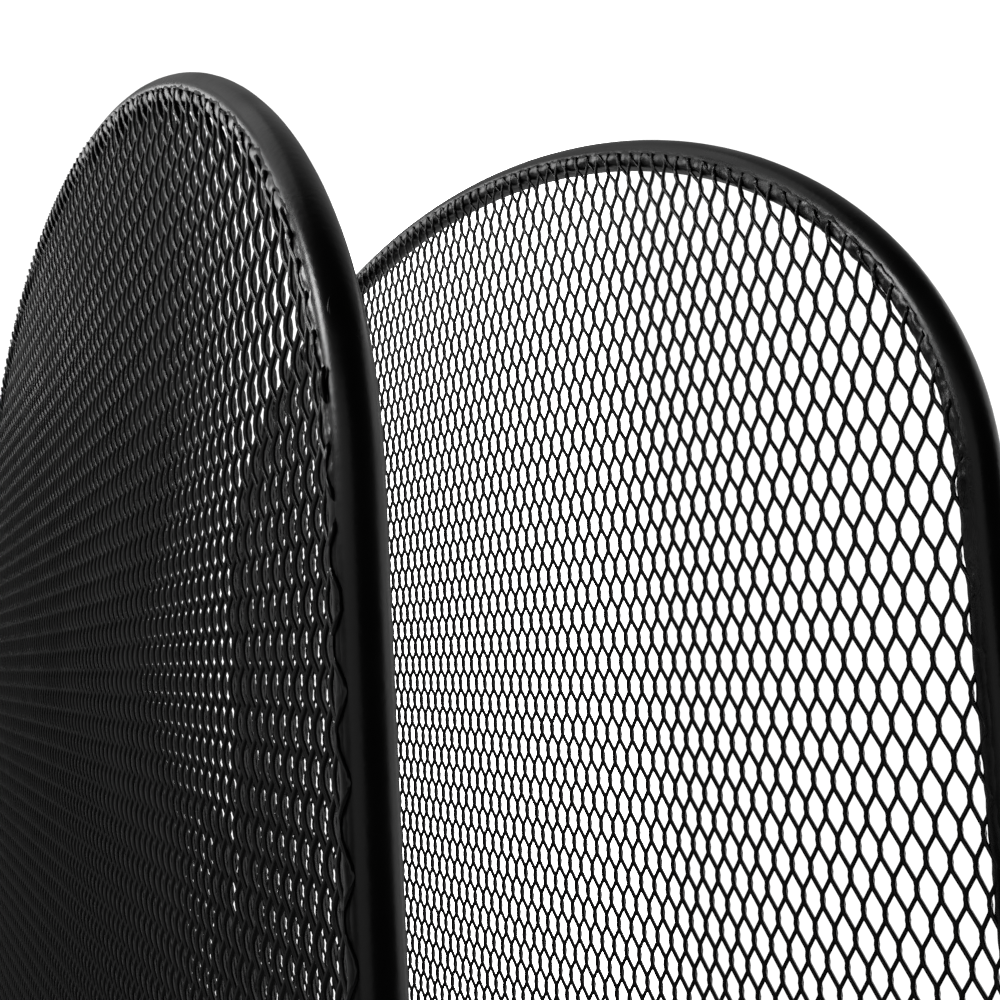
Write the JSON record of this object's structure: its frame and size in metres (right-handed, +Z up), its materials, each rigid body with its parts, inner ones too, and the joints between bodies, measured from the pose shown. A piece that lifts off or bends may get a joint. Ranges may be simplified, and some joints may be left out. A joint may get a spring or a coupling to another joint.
{
  "type": "fireplace screen",
  "caption": "Folding fireplace screen: round-topped leaves of black expanded mesh in round-bar rims swing out on pinned hinges from a narrow centre leaf.",
  "frame": {"origin": "on the floor, in the middle of the folded screen's box", "axes": "+Z up, +X along the folded leaves towards their free edges, +Y from the front leaf to the back leaf"},
  "size_m": [0.4302, 0.1072, 0.64],
  "materials": {
    "coated_rod": "satin black powder coat on round steel bar, with a faint orange-peel texture",
    "coated_mesh": "satin black powder coat on raised expanded steel mesh",
    "hinge_pin": "blackened steel hinge pin with a domed head",
    "foot_plastic": "matt black moulded plastic foot"
  },
  "bodies": {
    "centre_leaf": {"centre_rim": "coated_rod", "centre_bottom_rail": "coated_rod", "centre_mesh": "coated_mesh", "centre_front_foot": "foot_plastic", "centre_back_foot": "foot_plastic", "front_low_hinge_lower_knuckle": "coated_rod", "front_low_hinge_upper_knuckle": "coated_rod", "front_low_hinge_pin": "hinge_pin", "front_high_hinge_lower_knuckle": "coated_rod", "front_high_hinge_upper_knuckle": "coated_rod", "front_high_hinge_pin": "hinge_pin", "back_low_hinge_lower_knuckle": "coated_rod", "back_low_hinge_upper_knuckle": "coated_rod", "back_low_hinge_pin": "hinge_pin", "back_high_hinge_lower_knuckle": "coated_rod", "back_high_hinge_upper_knuckle": "coated_rod", "back_high_hinge_pin": "hinge_pin"},
    "front_leaf": {"front_rim": "coated_rod", "front_bottom_rail": "coated_rod", "front_mesh": "coated_mesh", "front_hinge_foot": "foot_plastic", "front_free_foot": "foot_plastic", "front_low_hinge_leaf_knuckle": "coated_rod", "front_high_hinge_leaf_knuckle": "coated_rod"},
    "back_leaf": {"back_rim": "coated_rod", "back_bottom_rail": "coated_rod", "back_mesh": "coated_mesh", "back_hinge_foot": "foot_plastic", "back_free_foot": "foot_plastic", "back_low_hinge_leaf_knuckle": "coated_rod", "back_high_hinge_leaf_knuckle": "coated_rod"}
  },
  "joints": [
    {"name": "front_leaf_swing", "type": "hinge", "parent": "centre_leaf", "child": "front_leaf", "pos_m": [-0.20995, -0.0485, 0.1], "axis": [0, 0, -1], "range_deg": [0, 120]},
    {"name": "back_leaf_swing", "type": "hinge", "parent": "centre_leaf", "child": "back_leaf", "pos_m": [-0.20995, 0.0485, 0.1], "axis": [0, 0, 1], "range_deg": [0, 120]}
  ]
}
